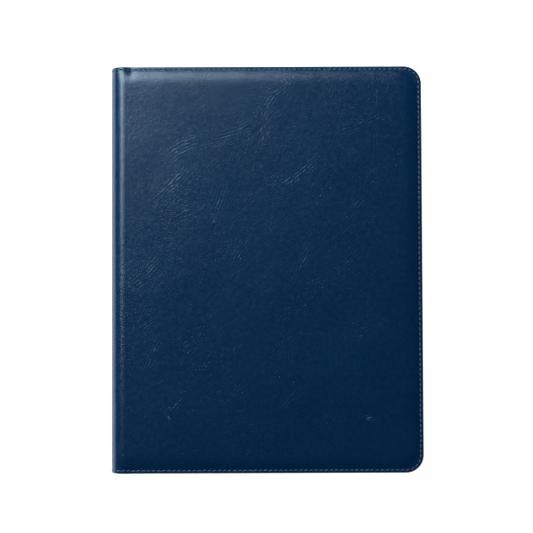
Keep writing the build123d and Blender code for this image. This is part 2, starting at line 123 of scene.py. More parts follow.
class Graph:
    """A material's node graph, with short calls for the nodes that the finishes share."""

    def __init__(self, name: str) -> None:
        """Start an empty material.

        Args:
            name: The material's name.
        """
        self.material = bpy.data.materials.new(name)
        self.material.use_nodes = True
        self.tree = self.material.node_tree
        self.shader = self.tree.nodes["Principled BSDF"]

    def put(self, socket: Socket, value: object) -> None:
        """Link a socket to another, or set its own value.

        Args:
            socket: The input socket.
            value: An output socket, a number, or a colour or vector.
        """
        if isinstance(value, Socket):
            self.tree.links.new(value, socket)
        elif isinstance(value, tuple) and len(value) == 3 and socket.type == "RGBA":
            socket.default_value = (*value, 1.0)
        else:
            socket.default_value = value

    def node(self, kind: str, inputs: dict, **settings: object) -> bpy.types.Node:
        """Add a node.

        Args:
            kind: The node's type.
            inputs: Input names or places, with their values or source sockets.
            settings: The node's own settings.

        Returns:
            The new node.
        """
        made = self.tree.nodes.new(kind)
        for key, value in settings.items():
            setattr(made, key, value)
        for key, value in inputs.items():
            self.put(made.inputs[key], value)
        return made

    def coordinates(self, space: PatternSpace) -> Socket:
        """The pattern's coordinates, in millimetres.

        Args:
            space: The flat cut of a sheet, or the object's own axes.

        Returns:
            A vector socket.
        """
        if space is PatternSpace.FLAT:
            source = self.node("ShaderNodeUVMap", {}, uv_map="flat").outputs["UV"]
        else:
            source = self.node("ShaderNodeTexCoord", {}).outputs["Object"]
        scaled = self.node("ShaderNodeVectorMath", {0: source, 3: 1 / MM}, operation="SCALE")
        return scaled.outputs[0]

    def mapped(self, vector: object, turn: float = 0.0, scale: tuple = (1, 1, 1)) -> Socket:
        """Coordinates turned about Z, then scaled.

        Args:
            vector: The source vector socket.
            turn: The turn in degrees.
            scale: The scale along each axis.

        Returns:
            A vector socket.
        """
        turned = self.node("ShaderNodeVectorRotate", {"Vector": vector, "Angle": math.radians(turn)},
                           rotation_type="Z_AXIS")
        stretched = self.node("ShaderNodeVectorMath", {0: turned.outputs[0], 1: scale}, operation="MULTIPLY")
        return stretched.outputs[0]

    def math(self, operation: str, first: object, second: object = 0.5, clamp: bool = False) -> Socket:
        """A math node's result.

        Args:
            operation: The operation's name.
            first: The first value.
            second: The second value.
            clamp: Whether the result is held between 0 and 1.

        Returns:
            A value socket.
        """
        made = self.node("ShaderNodeMath", {0: first, 1: second}, operation=operation, use_clamp=clamp)
        return made.outputs[0]

    def times(self, first: object, second: object, clamp: bool = False) -> Socket:
        """Two values multiplied, and held between 0 and 1 if clamped."""
        return self.math("MULTIPLY", first, second, clamp)

    def plus(self, first: object, second: object) -> Socket:
        """Two values added."""
        return self.math("ADD", first, second)

    def noise(self, vector: object, scale: float, detail: float = 3.0, rough: float = 0.55) -> Socket:
        """Fractal noise between 0 and 1.

        Args:
            vector: Coordinates in millimetres.
            scale: Features per millimetre.
            detail: How many finer layers are added.
            rough: How strong the finer layers are.

        Returns:
            A value socket.
        """
        inputs = {"Vector": vector, "Scale": scale, "Detail": detail, "Roughness": rough}
        return self.node("ShaderNodeTexNoise", inputs).outputs["Fac"]

    def cells(self, vector: object, scale: float, feature: str = "F1") -> Socket:
        """Distance in a field of random cells.

        Args:
            vector: Coordinates in millimetres.
            scale: Cells per millimetre.
            feature: Which distance is read.

        Returns:
            A value socket.
        """
        made = self.node("ShaderNodeTexVoronoi", {"Vector": vector, "Scale": scale}, feature=feature)
        return made.outputs["Distance"]

    def span(self, value: object, low: float, high: float, start: float = 0.0,
             end: float = 1.0) -> Socket:
        """A value carried smoothly from one range to another.

        Args:
            value: The source value.
            low: Where the source range starts.
            high: Where it ends.
            start: The result at low.
            end: The result at high.

        Returns:
            A value socket.
        """
        inputs = {"Value": value, "From Min": low, "From Max": high, "To Min": start, "To Max": end}
        return self.node("ShaderNodeMapRange", inputs, interpolation_type="SMOOTHSTEP").outputs[0]

    def blend(self, share: object, first: object, second: object) -> Socket:
        """A mix of two colours.

        Args:
            share: How much of the second colour shows.
            first: The first colour.
            second: The second colour.

        Returns:
            A colour socket.
        """
        made = self.node("ShaderNodeMix", {0: share}, data_type="RGBA")
        self.put(made.inputs[6], first)
        self.put(made.inputs[7], second)
        return made.outputs[2]

    def relief(self, layers: Iterable[tuple[object, float]]) -> None:
        """Give the surface a bump made of several layers.

        Args:
            layers: Height sockets, each with its depth in millimetres.
        """
        normal = None
        for height, depth in layers:
            inputs = {"Height": height, "Distance": depth * MM, "Strength": 1.0}
            bump = self.node("ShaderNodeBump", inputs)
            if normal is not None:
                self.put(bump.inputs["Normal"], normal)
            normal = bump.outputs["Normal"]
        self.put(self.shader.inputs["Normal"], normal)

    def finish(self, colour: object, rough: object, metal: float = 0.0, **sockets: float) -> Material:
        """Set the shader's main inputs.

        Args:
            colour: The base colour.
            rough: The roughness.
            metal: 1 for bare metal.
            sockets: Other shader inputs by name, with underscores for spaces.

        Returns:
            The finished material.
        """
        self.put(self.shader.inputs["Base Color"], colour)
        self.put(self.shader.inputs["Roughness"], rough)
        self.shader.inputs["Metallic"].default_value = metal
        for key, value in sockets.items():
            self.shader.inputs[key.replace("_", " ")].default_value = value
        return self.material


# ---------------------------------------------------------------- finishes


@dataclass(frozen=True)
class LeatherFinish:
    """Creased pull-up leather: fine crackled grain, and long creases with ripples beside them."""

    name: str
    space: PatternSpace
    base: Colour = (0.0008, 0.0200, 0.0610)
    lifted: Colour = (0.0045, 0.0400, 0.0920)
    deep: Colour = (0.0005, 0.0155, 0.0500)
    gloss: float = 0.235
    creasing: float = 1.0
    stroke_turns: float = 3.3
    seed: float = 0.0

    def swayed(self, graph: Graph, where: object) -> Socket:
        """Coordinates that wander slowly, so that straight patterns bend."""
        slow = {"Vector": where, "Scale": 0.014, "Detail": 1.6}
        sway = graph.node("ShaderNodeTexNoise", slow).outputs["Color"]
        shift = graph.node("ShaderNodeVectorMath", {0: sway, 3: 40.0}, operation="SCALE").outputs[0]
        return graph.node("ShaderNodeVectorMath", {0: where, 1: shift}, operation="ADD").outputs[0]

    def folds(self, graph: Graph, where: object) -> Socket:
        """The long creases: close parallel lines where the second UV map says."""
        marks = graph.node("ShaderNodeUVMap", {}, uv_map="folds").outputs["UV"]
        split = graph.node("ShaderNodeSeparateXYZ", {0: marks}).outputs
        warp = graph.times(graph.noise(where, 0.16, 2.0), 9.0)
        wave = graph.math("SINE", graph.plus(graph.times(split["Y"], self.stroke_turns / MM), warp))
        fray = graph.span(graph.noise(where, 0.22, 3.0), 0.32, 0.62)
        shown = graph.times(graph.times(split["X"], fray), self.creasing)
        return graph.times(graph.span(wave, -0.5, 1.0), shown)

    def crease_band(self, graph: Graph, where: object, turn: float, seed: float,
                    width: float) -> Socket:
        """Long narrow bands of short strokes, as leather shows where it was folded.

        Args:
            graph: The material's graph.
            where: Coordinates in millimetres.
            turn: The bands' direction, in degrees from the X axis.
            seed: Where in the noise this set is read.
            width: Half of a band's width, as a share of the distance between two.

        Returns:
            A height socket between 0 and 1.
        """
        moved = {0: where, 1: (seed, 0.7 * seed, 0)}
        shift = graph.node("ShaderNodeVectorMath", moved, operation="ADD").outputs[0]
        along = graph.mapped(shift, -turn)
        course = self.swayed(graph, along)
        edge = graph.cells(graph.mapped(course, 0, (0.008, 0.024, 1)), 1.0, "DISTANCE_TO_EDGE")
        band = graph.span(edge, 0.0, width, 1.0, 0.0)
        broken = graph.span(graph.noise(along, 0.022, 1.5), 0.50, 0.64)
        across = graph.node("ShaderNodeSeparateXYZ", {0: course}).outputs["Y"]
        warp = graph.times(graph.noise(graph.mapped(along, 0, (0.045, 0.16, 1)), 1.0, 2.0), 15.0)
        wave = graph.math("SINE", graph.plus(graph.times(across, self.stroke_turns), warp))
        return graph.times(graph.span(wave, -0.4, 1.0), graph.times(band, broken))

    def build(self) -> Material:
        """Make the material."""
        graph = Graph(self.name)
        where = graph.coordinates(self.space)
        crackle = graph.cells(graph.mapped(where, 20, (1.0, 1.35, 1)), 0.95, "DISTANCE_TO_EDGE")
        crackle = graph.span(crackle, 0.0, 0.22)
        pores = graph.noise(where, 2.6, 3.0)
        raised = self.crease_band(graph, where, 52, self.seed, 0.060)
        for turn, seed, width in ((30, 413.0, 0.045), (82, 907.0, 0.045), (60, 1530.0, 0.050)):
            band = self.crease_band(graph, where, turn, self.seed + seed, width)
            raised = graph.math("MAXIMUM", raised, band)
        raised = graph.times(raised, self.creasing)
        folds = self.folds(graph, where)
        feathers = graph.noise(graph.mapped(self.swayed(graph, where), -40, (0.11, 0.60, 1)), 1.0, 2.5, 0.6)
        feathers = graph.times(feathers, graph.span(graph.noise(where, 0.03, 2.0), 0.3, 0.7, 0.5, 1.0))
        tone = graph.span(graph.noise(where, 0.022, 3.0), 0.35, 0.65)
        patches = graph.span(graph.noise(where, 0.35, 4.0), 0.3, 0.7)
        colour = graph.blend(graph.times(tone, 0.5), self.base, self.deep)
        colour = graph.blend(graph.times(patches, 0.10), colour, self.lifted)
        colour = graph.blend(graph.times(raised, 0.16), colour, self.lifted)
        colour = graph.blend(graph.times(folds, 0.42), colour, self.lifted)
        rough = graph.plus(self.gloss - 0.03, graph.times(patches, 0.06))
        graph.relief([
            (graph.noise(where, 0.03, 2.0), 0.30),
            (graph.noise(where, 0.28, 3.0), 0.05),
            (raised, 0.026),
            (folds, 0.060),
            (feathers, 0.060),
            (crackle, 0.018),
            (pores, 0.022),
        ])
        return graph.finish(colour, rough)


@dataclass(frozen=True)
class ThreadFinish:
    """Twisted sewing thread."""

    name: str
    light: Colour = (0.070, 0.190, 0.360)
    dark: Colour = (0.016, 0.060, 0.150)

    def build(self) -> Material:
        """Make the material."""
        graph = Graph(self.name)
        where = graph.coordinates(PatternSpace.OBJECT)
        twisted = {"Vector": graph.mapped(where, 35), "Scale": 0.9, "Distortion": 1.2}
        twist = graph.node("ShaderNodeTexWave", twisted, bands_direction="DIAGONAL").outputs["Fac"]
        fuzz = graph.noise(where, 5.0, 3.0)
        colour = graph.blend(graph.times(twist, fuzz), self.dark, self.light)
        graph.relief([(twist, 0.06), (fuzz, 0.03)])
        return graph.finish(colour, 0.55, Sheen_Weight=0.3, Sheen_Roughness=0.5)


@dataclass(frozen=True)
class WovenFinish:
    """Plain-woven cloth, or ribbed elastic where one rib is much wider."""

    name: str
    space: PatternSpace
    base: Colour
    light: Colour
    warp_pitch: float = 0.55
    weft_pitch: float = 0.55

    def build(self) -> Material:
        """Make the material."""
        graph = Graph(self.name)
        where = graph.coordinates(self.space)
        split = graph.node("ShaderNodeSeparateXYZ", {0: where}).outputs
        warp = graph.math("SINE", graph.times(split["X"], math.tau / self.warp_pitch))
        weft = graph.math("SINE", graph.times(split["Y"], math.tau / self.weft_pitch))
        weave = graph.span(graph.times(warp, weft), -0.8, 0.8)
        wear = graph.noise(where, 0.06, 4.0)
        fibre = graph.noise(where, 4.0, 3.0)
        share = graph.times(graph.plus(weave, fibre), graph.times(wear, 0.8), clamp=True)
        colour = graph.blend(share, self.base, self.light)
        graph.relief([(weave, 0.10), (fibre, 0.05)])
        return graph.finish(colour, 0.82, Sheen_Weight=0.25)


@dataclass(frozen=True)
class MetalFinish:
    """Plated or plain steel with fine scratches and faint handling marks."""

    name: str
    colour: Colour = (0.78, 0.79, 0.81)
    rough: float = 0.16
    drag: tuple = (0.15, 4.0, 4.0)

    def build(self) -> Material:
        """Make the material."""
        graph = Graph(self.name)
        where = graph.coordinates(PatternSpace.OBJECT)
        scratches = graph.noise(graph.mapped(where, 0, self.drag), 1.6, 4.0, 0.7)
        marks = graph.noise(where, 0.12, 4.0)
        rough = graph.plus(self.rough, graph.times(graph.span(marks, 0.4, 0.75), 0.14))
        rough = graph.plus(rough, graph.times(scratches, 0.08))
        dull = tuple(0.72 * part for part in self.colour)
        colour = graph.blend(graph.times(graph.span(marks, 0.45, 0.8), 0.5), self.colour, dull)
        graph.relief([(scratches, 0.006)])
        return graph.finish(colour, rough, metal=1.0)


@dataclass(frozen=True)
class PaperFinish:
    """Ledger paper: cut edges show their leaves, and faces carry ruled lines without any lettering."""

    name: str
    paper: Colour = (0.74, 0.75, 0.66)
    rule: Colour = (0.20, 0.36, 0.40)
    band: Colour = (0.50, 0.62, 0.56)
    leaf_pitch: float = 0.22
    row_pitch: float = 8.0
    column_pitch: float = 16.5
    line_width: float = 0.22
    leaf_width: float = 0.07
    ruled_reach: float = 92.0
    heading_middle: float = 84.0
    heading_reach: float = 8.0

    def ruled(self, graph: Graph, value: object, pitch: float, width: float) -> Socket:
        """Thin lines at an even pitch.

        Args:
            graph: The material's graph.
            value: A coordinate in millimetres.
            pitch: The distance between lines.
            width: A line's width.

        Returns:
            1 on a line and 0 beside it.
        """
        place = graph.math("PINGPONG", value, pitch / 2)
        return graph.span(place, 0.0, width, 1.0, 0.0)

    def build(self) -> Material:
        """Make the material."""
        graph = Graph(self.name)
        where = graph.coordinates(PatternSpace.OBJECT)
        split = graph.node("ShaderNodeSeparateXYZ", {0: where}).outputs
        normal = graph.node("ShaderNodeNewGeometry", {}).outputs["Normal"]
        facing = graph.node("ShaderNodeSeparateXYZ", {0: normal})
        face_up = graph.span(graph.math("ABSOLUTE", facing.outputs["Z"]), 0.55, 0.8)
        rows = self.ruled(graph, split["Y"], self.row_pitch, self.line_width)
        columns = self.ruled(graph, split["X"], self.column_pitch, self.line_width)
        inside = graph.math("LESS_THAN", graph.math("ABSOLUTE", split["Y"]), self.ruled_reach)
        grid = graph.times(graph.math("MAXIMUM", rows, columns), inside)
        band = {0: split["Y"], 1: self.heading_middle, 2: self.heading_reach}
        heading = graph.node("ShaderNodeMath", band, operation="COMPARE").outputs[0]
        fibre = graph.noise(where, 1.5, 4.0)
        mottled = tuple(0.86 * part for part in self.paper)
        sheet = graph.blend(graph.times(fibre, 0.5), self.paper, mottled)
        printed = graph.blend(graph.times(heading, 0.6), sheet, self.band)
        printed = graph.blend(graph.times(grid, 0.75), printed, self.rule)
        uneven = graph.noise(graph.mapped(where, 0, (0.02, 0.02, 4.0)), 1.0, 2.0)
        height = graph.plus(split["Z"], graph.times(uneven, 0.25))
        leaves = self.ruled(graph, height, self.leaf_pitch, self.leaf_width)
        shade = tuple(0.45 * part for part in self.paper)
        edge = graph.blend(graph.times(leaves, uneven), sheet, shade)
        colour = graph.blend(face_up, edge, printed)
        graph.relief([(fibre, 0.02), (leaves, 0.04)])
        return graph.finish(colour, 0.78)


@dataclass(frozen=True)
class PlasticFinish:
    """Moulded or calendered plastic with a fine texture and rubbed patches."""

    name: str
    colour: Colour
    rough: float = 0.35
    grain: float = 1.2
    depth: float = 0.02
    see_through: float = 0.0

    def build(self) -> Material:
        """Make the material."""
        graph = Graph(self.name)
        where = graph.coordinates(PatternSpace.OBJECT)
        texture = graph.noise(where, self.grain, 3.0)
        rubbed = graph.span(graph.noise(where, 0.08, 4.0), 0.42, 0.7)
        worn = tuple(min(1.0, part * 1.25 + 0.01) for part in self.colour)
        colour = graph.blend(graph.times(rubbed, 0.4), self.colour, worn)
        rough = graph.plus(self.rough, graph.times(rubbed, 0.12))
        graph.relief([(texture, self.depth)])
        return graph.finish(colour, rough, Transmission_Weight=self.see_through, IOR=1.47)


@dataclass(frozen=True)
class CardFinish:
    """A laminated card with a faint ring pattern and a tinted band along its top."""

    name: str
    ground: Colour = (0.62, 0.70, 0.74)
    band: Colour = (0.05, 0.18, 0.32)

    def build(self) -> Material:
        """Make the material."""
        graph = Graph(self.name)
        where = graph.coordinates(PatternSpace.OBJECT)
        ringed = {"Vector": where, "Scale": 0.12, "Distortion": 6.0, "Detail": 2.0}
        rings = graph.node("ShaderNodeTexWave", ringed, wave_type="RINGS").outputs["Fac"]
        fine = graph.noise(where, 0.9, 3.0)
        pale = tuple(0.9 * part for part in self.ground)
        colour = graph.blend(graph.times(rings, 0.5), self.ground, pale)
        split = graph.node("ShaderNodeSeparateXYZ", {0: where}).outputs
        top = graph.math("GREATER_THAN", split["Y"], 89.0)
        colour = graph.blend(top, colour, self.band)
        graph.relief([(fine, 0.01)])
        return graph.finish(colour, graph.span(fine, 0.2, 0.8, 0.12, 0.22), Coat_Weight=0.6)


@dataclass(frozen=True)
class FloorFinish:
    """A plain pale studio floor."""

    name: str
    colour: Colour = (0.90, 0.90, 0.90)
    lift: float = 1.2

    def build(self) -> Material:
        """Make the material."""
        graph = Graph(self.name)
        where = graph.coordinates(PatternSpace.OBJECT)
        faint = tuple(0.985 * part for part in self.colour)
        colour = graph.blend(graph.noise(where, 0.01, 2.0), self.colour, faint)
        graph.put(graph.shader.inputs["Emission Color"], self.colour)
        graph.shader.inputs["Emission Strength"].default_value = self.lift
        return graph.finish(colour, 0.9, Specular_IOR_Level=0.1)


# ---------------------------------------------------------------- modelling helpers


def deselect() -> None:
    """Leave edit mode and select nothing."""
    if bpy.context.object and bpy.context.object.mode != "OBJECT":
        bpy.ops.object.mode_set(mode="OBJECT")
    bpy.ops.object.select_all(action="DESELECT")


def make_active(piece: Piece) -> None:
    """Select one piece alone and make it active."""
    deselect()
    piece.select_set(True)
    bpy.context.view_layer.objects.active = piece


def settle(piece: Piece) -> None:
    """Move a piece's place, turn and size into its mesh."""
    make_active(piece)
    bpy.ops.object.transform_apply(location=True, rotation=True, scale=True)


def modify(piece: Piece, kind: str, **settings: object) -> None:
    """Add a modifier and apply it.

    Args:
        piece: The piece to change.
        kind: The modifier's type.
        settings: The modifier's settings.
    """
    make_active(piece)
    modifier = piece.modifiers.new(kind.lower(), kind)
    for key, value in settings.items():
        setattr(modifier, key, value)
    bpy.ops.object.modifier_apply(modifier=modifier.name)


def dress(piece: Piece, material: Material) -> Piece:
    """Give a piece its material and smooth shading.

    Args:
        piece: The piece.
        material: Its material.

    Returns:
        The same piece.
    """
    piece.data.materials.clear()
    piece.data.materials.append(material)
    make_active(piece)
    bpy.ops.object.shade_smooth_by_angle(angle=math.radians(40))
    return piece


def grid_sheet(name: str, across: list[float], along: list[float], place: Place) -> Piece:
    """A sheet made from a grid whose points are carried from the flat cut to their place.

    Args:
        name: The piece's name.
        across: The cut's grid lines in X, in millimetres.
        along: The cut's grid lines in Y, in millimetres.
        place: Gives a point's place in millimetres from its place in the cut.

    Returns:
        The new piece, with a UV map called flat that holds the cut in metres.
    """
    deselect()
    columns, rows = len(across) - 1, len(along) - 1
    bpy.ops.mesh.primitive_grid_add(x_subdivisions=columns, y_subdivisions=rows, size=2.0, calc_uvs=False)
    piece = bpy.context.object
    piece.name = name
    mesh = piece.data
    cut = []
    for vertex in mesh.vertices:
        x = across[round((vertex.co.x + 1) / 2 * columns)]
        y = along[round((vertex.co.y + 1) / 2 * rows)]
        cut.append((x * MM, y * MM))
        vertex.co = place(x, y) * MM
    layer = mesh.uv_layers.new(name="flat")
    for loop in mesh.loops:
        layer.data[loop.index].uv = cut[loop.vertex_index]
    mesh.update()
    return piece


def scatter(name: str, model: Piece, places: list[Matrix]) -> Piece:
    """One piece made of many copies of a small model, each with its own mesh.

    Args:
        name: The new piece's name.
        model: The small model, which is removed.
        places: Where each copy goes.

    Returns:
        The joined piece.
    """
    copies = []
    for place in places:
        copy = bpy.data.objects.new(name, model.data.copy())
        copy.data.transform(place)
        bpy.context.scene.collection.objects.link(copy)
        copies.append(copy)
    deselect()
    for copy in copies:
        copy.select_set(True)
    bpy.context.view_layer.objects.active = copies[0]
    bpy.ops.object.join()
    bpy.data.objects.remove(model)
    copies[0].name = name
    return copies[0]


def spaced(start: float, end: float, step: float) -> list[float]:
    """Even places from start to end, both included, no further apart than a step."""
    count = max(1, math.ceil(abs(end - start) / step))
    return [start + (end - start) * index / count for index in range(count + 1)]


# ---------------------------------------------------------------- the covers


@dataclass(frozen=True)
class FoldMark:
    """A long soft crease that handling leaves in the leather, as points in millimetres on the cover."""

    points: tuple[tuple[float, float], ...]
    width: float = 2.6

    def read(self, places: np.ndarray) -> tuple[np.ndarray, np.ndarray]:
        """How strongly the crease shows at some places, and how far across it they lie.

        Args:
            places: Places on the cover, in millimetres.

        Returns:
            The strength from 0 to 1, and the signed distance in millimetres.
        """
        path = np.array(self.points)
        steps = np.diff(path, axis=0)
        lengths = np.linalg.norm(steps, axis=1)
        starts = np.concatenate([[0.0], np.cumsum(lengths)])
        best = np.full(len(places), 1e9)
        cross = np.zeros(len(places))
        along = np.zeros(len(places))
        for start, step, length, before in zip(path[:-1], steps, lengths, starts):
            way = step / length
            offset = places - start
            reach = np.clip(offset @ way, 0, length)
            side = offset[:, 1] * way[0] - offset[:, 0] * way[1]
            distance = np.linalg.norm(offset - reach[:, None] * way, axis=1)
            near = distance < best
            best[near], cross[near], along[near] = distance[near], side[near], (before + reach)[near]
        ends = np.sin(np.pi * np.clip(along / starts[-1], 0, 1)) ** 0.6
        return np.exp(-((best / self.width) ** 2)) * ends, cross


@dataclass(frozen=True)
class FoldPattern:
    """How handling creases a leather cover: one soft fold in each cell of a grid, mostly running one way."""

    columns: int = 4
    rows: int = 5
    spine_gap: float = 14.0
    fore_gap: float = 20.0
    end_gap: float = 14.0
    heading: float = 52.0
    heading_spread: float = 20.0
    shortest: float = 16.0
    longest: float = 44.0
    bow: float = 0.12
    narrowest: float = 2.4
    widest: float = 4.6
    seed: int = 23

    def marks(self, width: float, height: float) -> list[FoldMark]:
        """Place the folds on a cover.

        Args:
            width: The cover's width from the spine, in millimetres.
            height: The cover's height, in millimetres.

        Returns:
            The folds, in the cover's own millimetres.
        """
        draw = np.random.default_rng(self.seed)
        cell = np.array([
            (width - self.spine_gap - self.fore_gap) / self.columns,
            (height - 2 * self.end_gap) / self.rows,
        ])
        corner = np.array([self.spine_gap, self.end_gap - height / 2])
        found = []
        for column, row in itertools.product(range(self.columns), range(self.rows)):
            middle = corner + cell * (np.array([column, row]) + draw.uniform(0.15, 0.85, 2))
            angle = math.radians(draw.normal(self.heading, self.heading_spread))
            reach = draw.uniform(self.shortest, self.longest) / 2
            way = np.array([math.cos(angle), math.sin(angle)])
            sag = np.array([-way[1], way[0]]) * reach * draw.normal(0, self.bow)
            path = (middle - way * reach, middle + sag, middle + way * reach)
            points = tuple((float(x), float(y)) for x, y in path)
            found.append(FoldMark(points, draw.uniform(self.narrowest, self.widest)))
        return found


def held(value: float) -> float:
    """A value held between 0 and 1."""
    return min(max(value, 0.0), 1.0)


@dataclass
class CoverShape:
    """The outer surface of one half of the cover, from the middle of the spine to the fore-edge."""

    width: float
    half_height: float
    thickness: float
    round_radius: float = 9.0
    fore_corner: float = 10.7
    pad_corner: float = 16.0
    edge_radius: float = 1.45
    margin: float = 2.5
    rise: float = 9.5
    pad_depth: float = 1.25
    turn_in: float = 7.0
    spine_depth: float = 0.15
    seam_inset: float = 1.95
    seam_groove: float = 0.16
    groove_width: float = 0.55
    dip_place: float = 3.2
    dip_width: float = 2.2
    dip_reach: float = 11.0
    dip_rise: float = 9.0
    dip_depth: float = 0.6
    tuck: float = 0.45
    tuck_ramp: float = 3.0

    @property
    def round_start(self) -> float:
        """The cut's X where the shoulder starts to turn."""
        return self.thickness / 2 - self.round_radius

    @property
    def panel_start(self) -> float:
        """The cut's X where the flat cover starts."""
        return self.round_start + self.round_radius * math.pi / 2

    @property
    def quarter(self) -> float:
        """The length of the turn from the margin's top to the very edge."""
        return self.edge_radius * math.pi / 2

    @property
    def shoulder(self) -> tuple[tuple[float, float], tuple[float, float]]:
        """Where the leather leaves the spine and where it reaches the cover, as X and depth."""
        return (0.0, self.round_radius), (self.round_radius, 0.0)

    @property
    def cut_x(self) -> float:
        """The cut's X at the very fore-edge."""
        return self.panel_start + self.width - self.round_radius - self.edge_radius + self.quarter

    @property
    def cut_y(self) -> float:
        """The cut's Y at the very head edge."""
        return self.half_height - self.edge_radius + self.quarter

    def edge(self, t: float) -> tuple[float, float]:
        """How the turned edge runs round.

        Args:
            t: The distance along the cut from the very edge, negative on the inside.

        Returns:
            The inset from the outline, and the drop below the margin's top.
        """
        radius = self.edge_radius
        if t > self.quarter:
            return radius + t - self.quarter, 0.0
        if t < -self.quarter:
            return radius - t - self.quarter, 2 * radius
        return radius * (1 - math.cos(t / radius)), radius * (1 - math.sin(t / radius))

    def sunk(self, inset_x: float, inset_y: float, seam: float) -> float:
        """How far the surface lies below the flat of the pad.

        Args:
            inset_x: The distance in from the fore-edge.
            inset_y: The distance in from the head or tail.
            seam: The distance in from the nearest edge, measured round the corner.

        Returns:
            The depth in millimetres, with the groove that the seam pulls in.
        """
        dx, dy = self.pad_corner - inset_x, self.pad_corner - inset_y
        inset = self.pad_corner - math.hypot(dx, dy) if dx > 0 and dy > 0 else min(inset_x, inset_y)
        share = held((inset - self.margin) / self.rise)
        groove = self.seam_groove * math.exp(-(((seam - self.seam_inset) / self.groove_width) ** 2))
        return self.pad_depth * (1 - share) ** 2.2 + groove

    def crease_dip(self, x: float, y: float) -> float:
        """The small hollow beside the shoulder, where head and tail are sewn down."""
        near = math.exp(-(((x - self.panel_start - self.dip_place) / self.dip_width) ** 2))
        share = held((abs(y) - self.half_height + self.dip_reach) / self.dip_rise)
        return self.dip_depth * near * share * share

    def turn_kept(self, x: float) -> float:
        """The share of the turned edge's full drop: less round the shoulder, where the lining lies close."""
        before = (x - self.round_start + self.tuck_ramp) / self.tuck_ramp
        after = (self.panel_start + 2 * self.tuck_ramp - x) / self.tuck_ramp
        return 1 - self.tuck * held(min(before, after))

    def point(self, x: float, y: float) -> Vector:
        """A point of the front half's surface.

        Args:
            x: The cut's X, from the middle of the spine.
            y: The cut's Y, from the middle of its height.

        Returns:
            Its place in millimetres, with X from the spine's outer face.
        """
        tx = self.cut_x - x
        ty = self.cut_y - abs(y)
        sign = math.copysign(1.0, y)
        corner = self.fore_corner
        start = corner - self.edge_radius + self.quarter
        a, b = start - tx, start - ty
        if a > 0 and b > 0:
            inset, drop = self.edge(start - max(a, b))
            angle = math.pi / 4 * (b / a if a >= b else 2 - a / b)
            reach = corner - inset
            px = self.width - corner + reach * math.cos(angle)
            py = self.half_height - corner + reach * math.sin(angle)
            depth = self.sunk(self.width - px, self.half_height - py, inset) + drop
            return Vector((px, sign * py, self.thickness - depth))
        inset_x, drop_x = self.edge(tx)
        inset_y, drop_y = self.edge(ty)
        drop_y *= self.turn_kept(x)
        py = sign * (self.half_height - inset_y)
        if x >= self.panel_start:
            depth = self.sunk(inset_x, inset_y, min(inset_x, inset_y)) + max(drop_x, drop_y)
            depth += self.crease_dip(x, py)
            return Vector((self.width - inset_x, py, self.thickness - depth))
        share = held((x - self.round_start) / (self.panel_start - self.round_start))
        keep = self.spine_depth + (1 - self.spine_depth) * share * share
        depth = self.sunk(self.width, inset_y, inset_y) * keep + drop_y + self.crease_dip(x, py)
        angle = share * math.pi / 2
        base = Vector((0.0, py, self.thickness / 2 + min(x, self.round_start)))
        if x > self.round_start:
            turn = self.round_radius
            base = Vector((turn - turn * math.cos(angle), py, self.thickness - turn + turn * math.sin(angle)))
        return base - Vector((-math.cos(angle), 0.0, math.sin(angle))) * depth

    def edge_lines(self) -> list[float]:
        """Grid distances in from the very edge, close together where the surface turns."""
        wrap = spaced(-self.quarter, self.quarter, self.quarter / 4)
        inside = spaced(-self.quarter - self.turn_in, -self.quarter, 2.4)[:-1]
        seam = spaced(self.quarter, self.quarter + 1.3, 0.26)[1:]
        slope = spaced(seam[-1], self.quarter + self.pad_corner, 0.8)[1:]
        return inside + wrap + seam + slope

    def lines_x(self, pitch: float) -> list[float]:
        """Grid lines in X, from the middle of the spine round to the turned-in fore-edge."""
        edge = [self.cut_x - t for t in reversed(self.edge_lines())]
        spine = spaced(0.0, self.round_start, 2.0)
        turn = spaced(self.round_start, self.panel_start, 0.9)[1:]
        dip = spaced(self.panel_start, self.panel_start + 9.0, 1.1)[1:]
        panel = spaced(dip[-1], edge[0], pitch)[1:-1]
        return spine + turn + dip + panel + edge

    def lines_y(self, pitch: float) -> list[float]:
        """Grid lines in Y, from the turned-in tail to the turned-in head."""
        edge = [self.cut_y - t for t in reversed(self.edge_lines())]
        middle = spaced(-edge[0], edge[0], pitch)[1:-1]
        return [-y for y in reversed(edge)] + middle + edge


